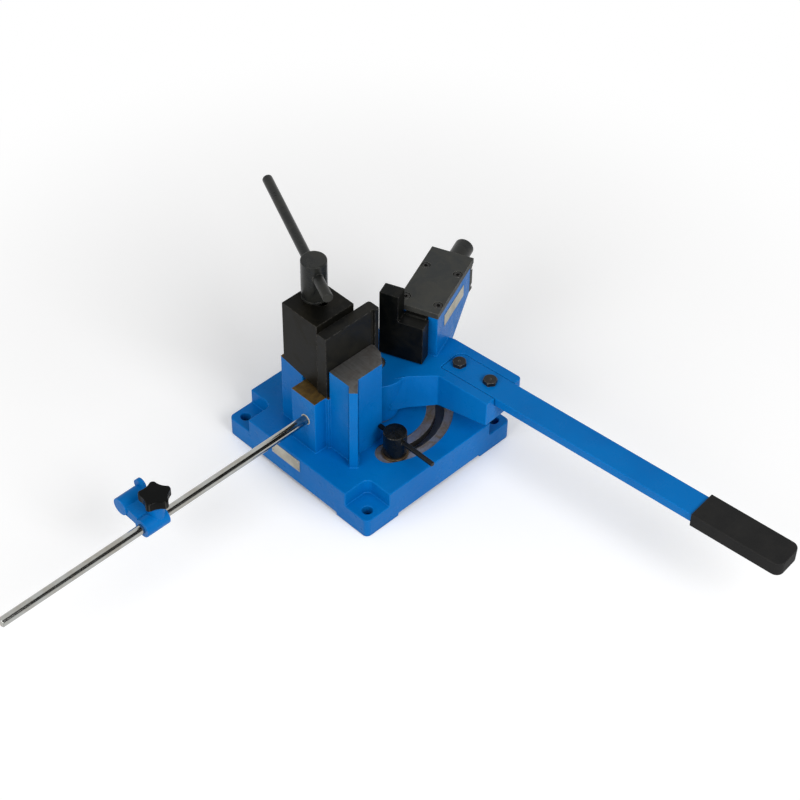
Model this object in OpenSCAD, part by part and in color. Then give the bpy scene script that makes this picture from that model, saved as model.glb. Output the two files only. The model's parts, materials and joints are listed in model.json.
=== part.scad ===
// Bench angle bender: a cast base with four bolt-down feet, a wedge-seat clamp for flat bar,
// and a swing arm that folds the bar round the fixed jaw's nose with an adjustable ram.
// Millimetres. X runs along the jaws and Z is up. The origin is the middle of the four bench
// bolts, on the underside of the feet. The arm is drawn part of the way through a bend.

/* [Base] */
// Side of the square base
base_w = 250; // [240:1:270]
// Height of the base's top face over the bench
base_h = 49; // [46:0.5:54]
// Thickness of the base's top plate
base_top_t = 12; // [10:0.5:14]
// Thickness of the base's side walls
base_wall = 11; // [8:0.5:14]
// Gap between the side walls and the bench
base_lift = 4.2; // [2:0.1:6]
// Side of the square pocket over each foot
foot_w = 38; // [34:1:42]
// Length of the feet along the base's sides, where they reach the bench
foot_l = 54; // [49:1:60]
// Height of the feet
foot_h = 28; // [22:0.5:34]
// Inset of the bench bolts from the base's sides
bolt_inset = 15; // [13:0.5:18]
// Diameter of the bench bolt holes
bolt_d = 13; // [9:0.5:14]

/* [Tower] */
// Left face of the tower
tower_x0 = -86; // [-90:0.5:-82]
// Right face of the tower
tower_x1 = -26; // [-30:0.5:-24]
// Back face of the tower
tower_y1 = 66.5; // [64:0.5:72]
// Height of the ledge under the moving jaw
ledge_z = 131.7; // [130.5:0.1:134]
// Height of the sloping seat at the moving jaw's back face
seat_z = 135.4; // [134.6:0.1:138]
// Slope of the seat, in degrees
seat_slope = 10; // [8:0.5:12]
// Height of the fixed jaw's top face
pad_z = 175; // [165:1:185]
// Front face of the fixed jaw
pad_y0 = -50; // [-54:0.5:-48]
// Face of the fixed jaw that the bar is clamped against
pad_y1 = -16.2; // [-16.6:0.1:-15.8]
// Nose of the fixed jaw, where the bar is folded
pad_x1 = -12; // [-14:0.5:-11.5]
// Radius swept clear of the tower for the arm's hub
hub_clear_r = 54; // [53:0.5:56]
// Thickness of the corner rib
rib_t = 10.8; // [8:0.2:14]

/* [Clamp] */
// Thickness of the clamp block along the bar's thickness
block_d = 60; // [58:0.5:64]
// Height of the clamp block's top face
block_z = 237; // [232:0.5:245]
// Thickness of the moving jaw plate
jaw_t = 15.5; // [14.5:0.1:16]
// Height of the moving jaw plate's top face
jaw_z = 226.5; // [215:0.5:230]
// Nose of the moving jaw plate
jaw_x1 = -1; // [-3:0.5:-1]
// Diameter of the clamp screw's thread
clamp_d = 16; // [14:0.5:18]
// Diameter of the clamp screw's head
clamp_head_d = 32; // [30:0.5:36]
// Height of the clamp screw's head
clamp_head_h = 54.5; // [50:0.5:60]
// Diameter of the clamp's tee bar
tee_d = 13; // [10:0.5:14]
// Length of the clamp's tee bar
tee_l = 234; // [200:1:260]

/* [Arm] */
// Height of the arm's top face
arm_z = 126; // [124.5:0.1:127]
// Radius of the hub at its top
hub_r1 = 45; // [42:0.5:46]
// Radius of the hub at its foot
hub_r0 = 30; // [28:0.5:32]
// Diameter of the pivot shaft
shaft_d = 25; // [22:0.5:26]
// Width of the arm beside the lever
arm_w = 64.5; // [63:0.5:68]
// Distance from the pivot to the arm's end, along the lever
arm_u1 = 149; // [145:1:155]
// Width of the column that carries the ram
column_w = 54; // [52:0.5:56]
// Length of the column, with the overhang behind the arm
column_l = 105.5; // [101:0.5:112]
// Height of the column's top face
column_z = 188; // [186:0.5:192]
// Thickness of the cover plate
cover_t = 8; // [7:0.5:10]

/* [Ram] */
// Distance from the pivot to the ram's working face
ram_s0 = 17; // [17:0.5:19]
// Thickness of the ram's face plate
ram_t = 19; // [17:0.5:20]
// Width of the ram's face plate
ram_w = 57.5; // [50:0.5:60]
// Height of the ram's finger
ram_z = 225.5; // [215:0.5:235]
// Width of the ram's finger
finger_w = 25; // [20:0.5:30]
// Diameter of the ram screw's outer end
ram_screw_d = 25; // [22:0.5:26]

/* [Lever] */
// Width of the lever bar
lever_w = 36; // [32:0.5:38]
// Thickness of the lever bar
lever_t = 12.5; // [10:0.5:15]
// Distance from the pivot to the lever's far end
lever_u1 = 550; // [450:5:650]
// Length of the rubber grip
grip_l = 120; // [100:1:140]

/* [Stops] */
// Diameter of the length stop's rod
rod_d = 12; // [10:0.5:14]
// Length of the rod outside the tower
rod_l = 453; // [380:1:500]
// Place of the slider along the rod, from the boss's face
slider_at = 221.5; // [190:0.5:260]
// Length of the slider's sleeve
sleeve_l = 33; // [30:1:40]
// Angle of the angle stop round the pivot
stop_angle = -116.5; // [-119:0.5:-114]
// Diameter of the angle stop's head
stop_d = 29.5; // [28:0.5:32]
// Height of the angle stop's head
stop_h = 34; // [30:0.5:38]

/* [Hidden] */
$fn = 64;

// Colours of the finishes
blue = "#0a58b0";
black = "#26292b";
steel = "#b9bdc2";
bronze = "#a8763e";
rubber = "#1c1c1e";
pale = "#c9c3b2";

// Overrun that carries a cut clear of a face
over = 1;
// Sink that joins two bodies of one casting
sink = 2;
// Gap between two flat faces that slide on each other
slide_gap = 0.1;
// Radial clearance of a running fit and of a pressed fit
run_gap = 0.06;
press_gap = 0.02;

// Pivot of the arm, and its angle from the X axis
pivot_x = 4;
pivot_y = -5;
arm_turn = 22;
// Angle of the lever from the arm's slide axis
lever_turn = -107;
bolt_at = base_w / 2 - bolt_inset;
ceiling_z = base_h - base_top_t;

// Base: corner radii, pivot boss and underside ribs
pocket_r = 9;
foot_r = 7;
edge_r = 4;
boss_r = 27;
boss_z0 = 20;
web_t = 9;
bush_t = 3.5;
bush_r = shaft_d / 2 + bush_t;

// Machined arc land on the base and the slot in it, round the pivot
land_r = 81.5;
land_w = 34;
land_depth = 1.5;
slot_w = 11.5;
arc_start = -122;
arc_end = 2.5;
land_z = base_h - land_depth;

// Tower: the seat's front edge lets the jaw draw back over the ledge
seat_front = 27.6;
jaw_back = 0.5;
pad_x0 = -83;
pad_nose_y = -35;
pad_nose_in = 3.5;
pad_front_x1 = -28;
pad_front_x0 = -67.5;
rib_reach = 106.3;
rib_offset = 17.4;
ledge_boss_x0 = -104;
ledge_boss_y0 = -13.5;
ledge_boss_y1 = 27.6;
rod_y = 3.5;
rod_z = 96;
rod_bore_l = 50;
thread_z0 = 84;

// Clamp: block, jaw plate and screw
jaw_x0 = tower_x0;
jaw_y1 = jaw_back;
jaw_y0 = jaw_y1 - jaw_t;
jaw_foot_gap = 0.3;
nose_strip_t = 3;
nose_strip_w = 8;
nose_groove = 1.2;
nose_r = 4;
block_y0 = jaw_back;
block_y1 = jaw_back + block_d;
clamp_x = -50.5;
clamp_y = 42;
clamp_travel = 12;
ring_t = 3;
head_z0 = block_z + ring_t;
head_z1 = head_z0 + clamp_head_h;
head_bevel = 1;
tee_z = head_z1 - 17.5 * clamp_head_h / 54.5;
tee_turn = 65.5;
tee_near = 52;
jaw_screw_d = 8;
jaw_screw_head_d = 13;
jaw_screw_head_h = 8;
jaw_screw_bite = 10;
jaw_screw_low = 160;
jaw_screw_high = 214;
jaw_screw_inset = 12;

// Arm: places along the slide axis s and across it t, and u and v for the lever
hub_z0 = base_h + 1.5;
washer_t = hub_z0 - base_h;
arm_v0 = 32.5;
arm_v1 = arm_v0 + arm_w;
knee_u = 74;
knee_s = -7;
knee_t = -47;
knee_in_s = -20;
knee_in_t = -30;
arm_back_s = 79;
in_hub = 20;
under_hub_z = 72;
under_hub_u = 40;
under_knee_z = 76;
under_end_z = 89.5;
arm_end_r = 5;
arm_end_skew = 3;
column_t0 = -64.6;
column_t1 = column_t0 + column_w;
column_mid = (column_t0 + column_t1) / 2;
column_s0 = 40;
column_s1 = column_s0 + column_l;
heel_z = 146;
heel_back_z = 98;
channel_w = 28.4;
channel_z = 152;
cover_over = 1;
cover_z = column_z + cover_t;
end_t = 8;
pin_d = 6;
pin_l = 56;
pin_z = 68;
shaft_end_d = 20;
shaft_z0 = 3.5;
nut_af = 30;
nut_h = 11;
nut_washer_r = 22;
nut_washer_t = 3;

// Small screws of the cover and the end plate
small_d = 6;
small_head_d = 10.5;
small_head_h = 6;
small_bore_d = 12;
small_bore_depth = 6.4;
small_bite = 16;
small_hex = 5;
small_hex_depth = 3.5;
cover_screw_s0 = 55;
cover_screw_s1 = 117;
cover_screw_t = 21.3;
end_screw_z0 = 153;
end_screw_z1 = 181;

// Ram: its shank runs in the column's channel
ram_z0 = 128;
ram_foot_z = 186;
ram_t1 = 2.5;
ram_t0 = ram_t1 - ram_w;
ram_s1 = ram_s0 + ram_t;
shank_gap = 0.2;
shank_w = channel_w - 2 * shank_gap;
shank_s1 = 98;
screw_z = 174;
ram_thread_d = 16;
ram_bore_s0 = 56;
ram_tip_s = 62;
collar_d = 27;
collar_l = 6;
ram_screw_s1 = 193.5;
socket_af = 14;
socket_depth = 12;

// Lever: bar let into the arm, bolts and grip
lever_v = 65;
lever_u0 = 66.5;
lever_corner = 7;
recess_gap = 0.5;
grip_over = 3;
grip_wall = 3;
grip_r = 10;
bolt_u = [80, 128];
bolt_thread_d = 10;
bolt_af = 16;
bolt_head_h = 5.5;
bolt_end_z = 95;

// Length stop: slider, stud and knob
rod_in = 48;
slider_x1 = ledge_boss_x0 - slider_at;
slider_x0 = slider_x1 - sleeve_l;
sleeve_r = 12;
stud_in = 9.7;
stud_x = slider_x1 - stud_in;
stud_boss_r = 10;
stud_boss_z = 121;
arm_web_t = 14;
pad_bar_y = 39;
pad_bar_z = 5.8;
pad_bar_r = 11.3;
pad_bar_l = 34;
tip_y = 43.5;
tip_z = 14.5;
tip_r = 8;
tip_l = 4;
stud_d = 8;
knob_z0 = 126;
knob_h = 12.5;
knob_lobes = 5;
knob_lobe_r = 5.5;
knob_lobe_at = 14;
knob_turn = 60;
knob_valley_r = 20;
knob_valley_at = 15;
set_screw_d = 8;
set_screw_x = -93;

// Angle stop: head, washer, nut and tommy bar
stop_washer_r = 16.8;
stop_washer_t = 3;
stop_screw_d = 10;
stop_z0 = land_z + stop_washer_t;
stop_z1 = stop_z0 + stop_h;
stop_nut_t = 10;
stop_nut_w = 24;
stop_nut_l = 30;
tongue_w = 11;
tongue_h = 8;
stop_bar_d = 6.5;
stop_bar_z = stop_z1 - 9.5;
stop_bar_back = 26.5;
stop_bar_l = 91;

// Name plates
plate_t = 0.8;
plate_l = 50;
plate_h = 18;
plate_y = 18;
plate_z = 36;
rivet_r = 1.5;
rivet_h = 0.7;
rivet_inset = 3;
label_t = 0.5;
label_s0 = 62;
label_l = 62;
label_z0 = 158;
label_h = 17.5;

// Height of the sloping seat at a place across the bar
function seat_at(y) = seat_z + (y - jaw_back) * tan(seat_slope);
// Place in the arm's own frame of a point u along the lever and v beside it
function lever_point(u, v) = [
    u * cos(lever_turn) - v * sin(lever_turn),
    u * sin(lever_turn) + v * cos(lever_turn)];
// Place u along the arm's right edge where it meets the arm's back face
arm_back_u = (arm_back_s + arm_v1 * sin(lever_turn)) / cos(lever_turn);
// Points of an arc from one angle to another
function arc(x, y, r, a0, a1, steps) = [
    for (i = [0:steps])
        let (a = a0 + (a1 - a0) * i / steps) [x + r * cos(a), y + r * sin(a)]];

module at_pivot() { translate([pivot_x, pivot_y, 0]) children(); }

// The arm's own frame: X away from the pivot along the ram's slide, Y across it
module arm_frame() { at_pivot() rotate(arm_turn) children(); }

// The lever's frame: X out along the lever, Y to its side
module lever_frame() { arm_frame() rotate(lever_turn) children(); }

// A side profile in Y and Z, drawn out along X from x0
module along_x(x0, length) {
    translate([x0, 0, 0]) rotate([90, 0, 90]) linear_extrude(length) children();
}

// A side profile in X and Z, drawn out along Y from y0
module along_y(y0, length) {
    translate([0, y0 + length, 0]) rotate([90, 0, 0]) linear_extrude(length) children();
}

module hex(across, height) { cylinder(r = across / sqrt(3), h = height, $fn = 6); }

// A socket screw pointing down, its head's top at z = 0
module socket_screw(d, head_d, head_h, length, hex_af, hex_depth) {
    difference() {
        union() {
            translate([0, 0, -head_h]) cylinder(d = head_d, h = head_h);
            translate([0, 0, -head_h - length]) cylinder(d = d, h = length + sink);
        }
        translate([0, 0, -hex_depth]) hex(hex_af, hex_depth + over);
    }
}

// A square from a corner at the origin, rounded at its inner corner
module notch(side, r) {
    square([side, side - r]);
    square([side - r, side]);
    translate([side - r, side - r]) circle(r);
}

// Places the children's corner pattern at all four corners, its axes pointing inwards
module at_corners() {
    for (sx = [-1, 1])
        for (sy = [-1, 1])
            translate([sx * base_w / 2, sy * base_w / 2]) scale([-sx, -sy]) children();
}

module base_plan() {
    difference() {
        square(base_w, center = true);
        at_corners() translate([-over, -over]) notch(foot_w + over, pocket_r);
    }
}

// A foot's plan, from the outer corner, with that corner rounded
module foot_plan() {
    side = foot_l;
    translate([foot_r, 0]) square([side - foot_r, side]);
    translate([0, foot_r]) square([side, side - foot_r]);
    translate([foot_r, foot_r]) circle(foot_r);
}

module cavity_plan() {
    inner = base_w - 2 * base_wall;
    difference() {
        square(inner, center = true);
        at_corners() square(foot_w + base_wall);
    }
}

// A band round the pivot, with round ends
module arc_band(width, z, height) {
    at_pivot() translate([0, 0, z]) {
        rotate(arc_start)
            rotate_extrude(angle = arc_end - arc_start)
                translate([land_r - width / 2, 0]) square([width, height]);
        for (a = [arc_start, arc_end])
            rotate(a) translate([land_r, 0, 0]) rotate(90) cylinder(d = width, h = height);
    }
}

module base_slab() {
    difference() {
        union() {
            translate([0, 0, base_lift]) linear_extrude(base_h - base_lift) base_plan();
            linear_extrude(foot_h) at_corners() foot_plan();
        }
        translate([0, 0, -over]) linear_extrude(ceiling_z + over) cavity_plan();
        for (sx = [-1, 1])
            for (sy = [-1, 1])
                translate([sx * bolt_at, sy * bolt_at, -over])
                    cylinder(d = bolt_d, h = foot_h + 2 * over);
    }
    // Webs under the top plate, from the pivot boss to the left and back walls
    translate([-base_w / 2 + base_wall / 2, pivot_y - web_t / 2, base_lift])
        cube([base_w / 2 - base_wall / 2 + pivot_x - bush_r, web_t, ceiling_z - base_lift + sink]);
    translate([pivot_x - web_t / 2, pivot_y + bush_r, base_lift])
        cube([web_t, base_w / 2 - pivot_y - bush_r - base_wall / 2, ceiling_z - base_lift + sink]);
    at_pivot() translate([0, 0, boss_z0]) cylinder(r = boss_r, h = ceiling_z - boss_z0 + sink);
}

// The fixed jaw in plan: a wall with a rounded nose over the arm's hub
module pad_plan() {
    polygon(concat(
        [[pad_x0, pad_y1]],
        arc(pad_x1 - nose_r, pad_y1 - nose_r, nose_r, 90, 0, 8),
        [[pad_x1 - pad_nose_in, pad_nose_y],
        [pad_front_x1, pad_y0], [pad_front_x0, pad_y0],
        [pad_x0, pad_y0]]));
}

// The rib's plan: a bar on the diagonal that ends over the near corner
module rib_plan() {
    rotate(45) translate([-rib_reach, rib_offset - rib_t / 2])
        square([rib_reach + pad_x1, rib_t]);
}

module tower() {
    body_z = base_h - sink;
    // Seat and ledge in one side profile
    along_x(tower_x0, tower_x1 - tower_x0) polygon([
        [pad_y1 - sink, body_z], [tower_y1, body_z], [tower_y1, seat_at(tower_y1)],
        [seat_front, seat_at(seat_front)], [seat_front, ledge_z], [pad_y1 - sink, ledge_z]]);
    translate([ledge_boss_x0, ledge_boss_y0, body_z])
        cube([tower_x0 - ledge_boss_x0 + sink, ledge_boss_y1 - ledge_boss_y0, ledge_z - body_z]);
    translate([0, 0, body_z]) linear_extrude(pad_z - body_z) {
        pad_plan();
        intersection() {
            rib_plan();
            translate([pad_y0 * 2, pad_y0 * 2]) square([-pad_y0 * 2 + pad_front_x0, -pad_y0]);
        }
    }
}

module base_casting() {
    color(blue) difference() {
        union() {
            base_slab();
            tower();
        }
        // Room for the hub and the arm's inner corner, under the fixed jaw's overhang
        at_pivot() translate([0, 0, base_h]) cylinder(r = hub_clear_r, h = ledge_z - base_h, $fn = 128);
        // Bore for the pivot bush
        at_pivot() translate([0, 0, -over]) cylinder(r = bush_r + press_gap, h = base_h + 2 * over);
        // Room for the nut and its washer under the boss
        at_pivot() translate([0, 0, -over])
            cylinder(r = nut_washer_r + nut_washer_t, h = boss_z0 + over);
        arc_band(land_w, land_z, land_depth + over);
        arc_band(slot_w, ceiling_z - over, base_top_t + 2 * over);
        // Tapped hole for the clamp screw
        translate([clamp_x, clamp_y, thread_z0])
            cylinder(r = clamp_d / 2 + run_gap, h = block_z);
        // Bore for the rod
        translate([ledge_boss_x0 - over, rod_y, rod_z]) rotate([0, 90, 0])
            cylinder(r = rod_d / 2 + press_gap, h = rod_bore_l + over);
        // Tapped hole for the rod's set screw
        translate([set_screw_x, rod_y, rod_z]) rotate([-90, 0, 0])
            cylinder(r = set_screw_d / 2 + press_gap, h = ledge_boss_y1 - rod_y + over);
    }
}

module type_plate() {
    color(pale) translate([-base_w / 2 - plate_t, plate_y - plate_l / 2, plate_z - plate_h / 2])
        difference() {
            cube([plate_t, plate_l, plate_h]);
            translate([-over, plate_l / 2, plate_h / 2]) rivet_places() rotate([0, 90, 0])
                cylinder(r = rivet_r / 2 + press_gap, h = plate_t + 2 * over);
        }
}

// The type plate's four corners, measured from its middle
module rivet_places() {
    for (sy = [-1, 1])
        for (sz = [-1, 1])
            translate([0, sy * (plate_l / 2 - rivet_inset), sz * (plate_h / 2 - rivet_inset)])
                children();
}

module type_plate_rivets() {
    color(steel) translate([-base_w / 2 - plate_t, plate_y, plate_z])
        rivet_places() rotate([0, 90, 0]) {
            translate([0, 0, -rivet_h]) cylinder(r = rivet_r, h = rivet_h);
            translate([0, 0, -rivet_h]) cylinder(r = rivet_r / 2, h = rivet_h + plate_t);
        }
}

module pivot_bush() {
    color(bronze) at_pivot() translate([0, 0, boss_z0]) difference() {
        cylinder(r = bush_r, h = base_h - boss_z0);
        translate([0, 0, -over])
            cylinder(r = shaft_d / 2 + run_gap, h = base_h - boss_z0 + 2 * over);
    }
}

module thrust_washer() {
    color(bronze) at_pivot() translate([0, 0, base_h]) difference() {
        cylinder(r = hub_r0 - over, h = washer_t - slide_gap);
        translate([0, 0, -over]) cylinder(r = shaft_d / 2 + run_gap, h = washer_t + 2 * over);
    }
}

// The slot that lets the block travel past the fixed screw
module clamp_slot(r, z0, height) {
    for (dy = [0, -clamp_travel])
        translate([clamp_x, clamp_y + dy, z0]) cylinder(r = r, h = height);
    translate([clamp_x - r, clamp_y - clamp_travel, z0]) cube([2 * r, clamp_travel, height]);
}

// Places of the two columns of jaw screws
module jaw_screw_places() {
    for (x = [tower_x0 + jaw_screw_inset, tower_x1 - jaw_screw_inset])
        for (z = [jaw_screw_low, jaw_screw_high])
            translate([x, block_y1, z]) rotate([90, 0, 0]) children();
}

module clamp_block() {
    color(black) difference() {
        along_x(tower_x0, tower_x1 - tower_x0) polygon([
            [block_y0, seat_at(block_y0) + slide_gap], [block_y1, seat_at(block_y1) + slide_gap],
            [block_y1, block_z], [block_y0, block_z]]);
        clamp_slot(clamp_d / 2 + over / 2, ledge_z, block_z);
        jaw_screw_places() translate([0, 0, -over])
            cylinder(r = jaw_screw_d / 2 + press_gap, h = block_d + 2 * over);
        jaw_screw_places() translate([0, 0, -over])
            cylinder(r = jaw_screw_head_d / 2 + run_gap, h = jaw_screw_head_h + over);
    }
}

// The moving jaw in plan: a flat plate with a raised strip and a rounded nose
module jaw_plan() {
    strip_x0 = jaw_x1 - nose_strip_w;
    polygon(concat(
        [[jaw_x0, jaw_y0], [jaw_x0, jaw_y1]],
        arc(jaw_x1 - nose_r, jaw_y1 - nose_r, nose_r, 90, 0, 8),
        arc(jaw_x1 - nose_strip_t, jaw_y0, nose_strip_t, 0, -90, 6),
        [[strip_x0, jaw_y0 - nose_strip_t], [strip_x0, jaw_y0 + nose_groove],
        [strip_x0 - nose_strip_t, jaw_y0 + nose_groove], [strip_x0 - nose_strip_t, jaw_y0]]));
}

module jaw_plate() {
    z0 = ledge_z + jaw_foot_gap;
    color(black) difference() {
        translate([0, 0, z0]) linear_extrude(jaw_z - z0) jaw_plan();
        jaw_screw_places() translate([0, 0, block_d - over])
            cylinder(r = jaw_screw_d / 2 + press_gap, h = jaw_screw_bite + over);
    }
}

module jaw_screws() {
    color(black) jaw_screw_places() rotate([180, 0, 0])
        socket_screw(jaw_screw_d, jaw_screw_head_d, jaw_screw_head_h,
            block_d - jaw_screw_head_h + jaw_screw_bite, small_hex + over, small_hex_depth);
}

module clamp_ring() {
    color(black) translate([clamp_x, clamp_y, block_z]) difference() {
        cylinder(d = clamp_head_d, h = ring_t);
        translate([0, 0, -over]) cylinder(r = clamp_d / 2 + run_gap, h = ring_t + 2 * over);
    }
}

module clamp_screw() {
    color(black) translate([clamp_x, clamp_y, 0]) difference() {
        union() {
            translate([0, 0, head_z0]) cylinder(d = clamp_head_d, h = clamp_head_h - head_bevel);
            translate([0, 0, head_z1 - head_bevel])
                cylinder(d1 = clamp_head_d, d2 = clamp_head_d - 2 * head_bevel, h = head_bevel);
            translate([0, 0, thread_z0 + sink]) cylinder(d = clamp_d, h = head_z0 - thread_z0);
        }
        rotate(tee_turn) translate([-clamp_head_d, 0, tee_z]) rotate([0, 90, 0])
            cylinder(r = tee_d / 2 + run_gap, h = 2 * clamp_head_d);
    }
}

module clamp_tee_bar() {
    color(black) translate([clamp_x, clamp_y, tee_z]) rotate(tee_turn)
        translate([-tee_near, 0, 0]) rotate([0, 90, 0]) cylinder(d = tee_d, h = tee_l);
}

module stop_rod() {
    color(steel) translate([ledge_boss_x0 - rod_l, rod_y, rod_z]) rotate([0, 90, 0])
        cylinder(d = rod_d, h = rod_l + rod_in);
}

module rod_set_screw() {
    tip = rod_y + rod_d / 2 + slide_gap;
    color(black) translate([set_screw_x, ledge_boss_y1, rod_z]) rotate([90, 0, 0]) difference() {
        cylinder(d = set_screw_d, h = ledge_boss_y1 - tip);
        translate([0, 0, -over]) hex(set_screw_d / 2, set_screw_d / 2 + over);
    }
}

module rod_slider() {
    web_x0 = slider_x0 + sink;
    pad_y = rod_y + pad_bar_y;
    pad_z = rod_z + pad_bar_z;
    half = arm_web_t / 2;
    color(blue) difference() {
        union() {
            translate([slider_x0, rod_y, rod_z]) rotate([0, 90, 0])
                cylinder(r = sleeve_r, h = sleeve_l);
            translate([stud_x, rod_y, rod_z]) cylinder(r = stud_boss_r, h = stud_boss_z - rod_z);
            along_x(web_x0, sleeve_l - 2 * sink) polygon([
                [rod_y, rod_z - half], [pad_y, pad_z - half],
                [pad_y, pad_z + half], [rod_y, rod_z + half]]);
            translate([slider_x0, pad_y, pad_z]) rotate([0, 90, 0])
                cylinder(r = pad_bar_r, h = pad_bar_l);
            // Contact disc at the pad bar's end
            translate([slider_x0 + pad_bar_l - sink, rod_y + tip_y, rod_z + tip_z])
                rotate([0, 90, 0]) cylinder(r = tip_r, h = tip_l + sink);
        }
        translate([slider_x0 - over, rod_y, rod_z]) rotate([0, 90, 0])
            cylinder(r = rod_d / 2 + run_gap, h = sleeve_l + 2 * over);
        translate([stud_x, rod_y, rod_z]) cylinder(r = stud_d / 2 + run_gap, h = stud_boss_z);
    }
}

module slider_stud() {
    z0 = rod_z + rod_d / 2 + slide_gap * 2;
    color(steel) translate([stud_x, rod_y, z0]) cylinder(d = stud_d, h = knob_z0 + knob_h / 2 - z0);
}

// The knob's plan: lobes joined by flats, with a shallow valley in each flat
module knob_plan() {
    step = 360 / knob_lobes;
    difference() {
        union() {
            polygon([for (i = [0:knob_lobes - 1], side = [-1, 1])
                let (a = step * i, b = a + side * step / 2)
                [knob_lobe_at * cos(a) + knob_lobe_r * cos(b),
                knob_lobe_at * sin(a) + knob_lobe_r * sin(b)]]);
            for (i = [0:knob_lobes - 1])
                rotate(step * i) translate([knob_lobe_at, 0]) circle(knob_lobe_r);
        }
        for (i = [0:knob_lobes - 1])
            rotate(step * (i + 1 / 2)) translate([knob_valley_at + knob_valley_r, 0])
                circle(knob_valley_r);
    }
}

module star_knob() {
    color(black) translate([stud_x, rod_y, knob_z0]) difference() {
        union() {
            rotate(knob_turn) linear_extrude(knob_h) knob_plan();
            translate([0, 0, stud_boss_z + slide_gap * 2 - knob_z0])
                cylinder(r = stud_boss_r - over, h = knob_h / 2);
        }
        translate([0, 0, -knob_h]) cylinder(r = stud_d / 2 + press_gap, h = knob_h * 3 / 2);
    }
}

// The arm's plan beside the hub, in the arm's own frame
module arm_plan() {
    polygon([
        [-in_hub, in_hub], [in_hub, in_hub], [hub_r0, column_t1],
        [arm_back_s, column_t1], lever_point(arm_back_u, arm_v1),
        for (p = arc(arm_u1 + arm_end_skew - arm_end_r, arm_v1 - arm_end_r, arm_end_r, 90, 0, 6))
            lever_point(p[0], p[1]),
        lever_point(arm_u1, arm_v0), lever_point(knee_u, arm_v0),
        [knee_s, knee_t], [knee_in_s, knee_in_t]]);
}

// The arm's side view along the lever: its underside rises from the hub to the end
module arm_side() {
    polygon([
        [-arm_u1, under_hub_z], [under_hub_u, under_hub_z], [knee_u, under_knee_z],
        [arm_u1, under_end_z], [arm_u1 + knee_u, under_end_z], [arm_u1 + knee_u, arm_z],
        [-arm_u1, arm_z]]);
}

// The column's side view along the slide axis, with its sloping heel behind the arm
module column_side() {
    polygon([
        [column_s0, heel_back_z], [column_s0, column_z], [column_s1, column_z],
        [column_s1, heel_z], [arm_back_s - sink, heel_back_z]]);
}

// The lever's plan from its cut inner corner out to u1, with a gap all round
module lever_plan(u1, gap) {
    u0 = lever_u0 - gap;
    v0 = lever_v - lever_w / 2 - gap;
    v1 = lever_v + lever_w / 2 + gap;
    polygon([[u0, v0], [u1, v0], [u1, v1], [u0 + lever_corner, v1], [u0, v1 - lever_corner]]);
}

// Places of the lever's bolts, in the lever's frame
module bolt_places() {
    for (u = bolt_u)
        translate([u, lever_v, 0]) children();
}

// Places of the cover plate's four screws, at the plate's top face
module cover_screw_places() {
    for (s = [cover_screw_s0, cover_screw_s1])
        for (side = [-1, 1])
            translate([s, column_mid + side * cover_screw_t, cover_z]) children();
}

// Places of the end plate's four screws, pointing in from its outer face
module end_screw_places() {
    for (z = [end_screw_z0, end_screw_z1])
        for (side = [-1, 1])
            translate([column_s1 + end_t, column_mid + side * cover_screw_t, z])
                rotate([0, 90, 0]) children();
}

module swing_arm() {
    color(blue) difference() {
        union() {
            at_pivot() translate([0, 0, hub_z0])
                cylinder(r1 = hub_r0, r2 = hub_r1, h = arm_z - hub_z0, $fn = 96);
            arm_frame() intersection() {
                translate([0, 0, hub_z0]) linear_extrude(arm_z - hub_z0) arm_plan();
                rotate(lever_turn) along_y(-arm_u1, 2 * arm_u1 + arm_v1) arm_side();
            }
            arm_frame() along_y(column_t0, column_w) column_side();
        }
        at_pivot() translate([0, 0, hub_z0 - over])
            cylinder(r = shaft_d / 2 + press_gap, h = arm_z - hub_z0 + 2 * over);
        arm_frame() translate([0, -hub_r1, pin_z]) rotate([-90, 0, 0])
            cylinder(r = pin_d / 2 + press_gap, h = 2 * hub_r1);
        lever_frame() translate([0, 0, arm_z - lever_t])
            linear_extrude(lever_t + over) lever_plan(2 * arm_u1, recess_gap);
        lever_frame() bolt_places() translate([0, 0, bolt_end_z - over])
            cylinder(r = bolt_thread_d / 2 + press_gap, h = arm_z);
        arm_frame() translate([column_s0 - over, column_mid - channel_w / 2, channel_z])
            cube([column_l + 2 * over, channel_w, column_z]);
        arm_frame() cover_screw_places() translate([0, 0, -small_bore_depth - small_bite - cover_t])
            cylinder(r = small_d / 2 + press_gap, h = small_bite + cover_t);
        arm_frame() end_screw_places() translate([0, 0, -small_head_h - small_bite - end_t])
            cylinder(r = small_d / 2 + press_gap, h = small_bite + end_t);
    }
}

module pivot_shaft() {
    neck_z = boss_z0 - nut_washer_t;
    color(steel) at_pivot() difference() {
        union() {
            translate([0, 0, neck_z]) cylinder(d = shaft_d, h = arm_z - neck_z);
            translate([0, 0, shaft_z0]) cylinder(d = shaft_end_d, h = neck_z - shaft_z0 + sink);
        }
        rotate(arm_turn) translate([0, -shaft_d, pin_z]) rotate([-90, 0, 0])
            cylinder(r = pin_d / 2 + press_gap, h = 2 * shaft_d);
    }
}

module shaft_pin() {
    color(steel) arm_frame() translate([0, -pin_l / 2, pin_z]) rotate([-90, 0, 0])
        cylinder(d = pin_d, h = pin_l);
}

module pivot_washer() {
    color(steel) at_pivot() translate([0, 0, boss_z0 - nut_washer_t + slide_gap])
        difference() {
            cylinder(r = nut_washer_r, h = nut_washer_t - 2 * slide_gap);
            translate([0, 0, -over])
                cylinder(r = shaft_d / 2 + press_gap, h = nut_washer_t + 2 * over);
        }
}

module pivot_nut() {
    color(steel) at_pivot() translate([0, 0, boss_z0 - nut_washer_t - nut_h]) difference() {
        hex(nut_af, nut_h);
        translate([0, 0, -over]) cylinder(r = shaft_end_d / 2 + press_gap, h = nut_h + 2 * over);
    }
}

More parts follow.
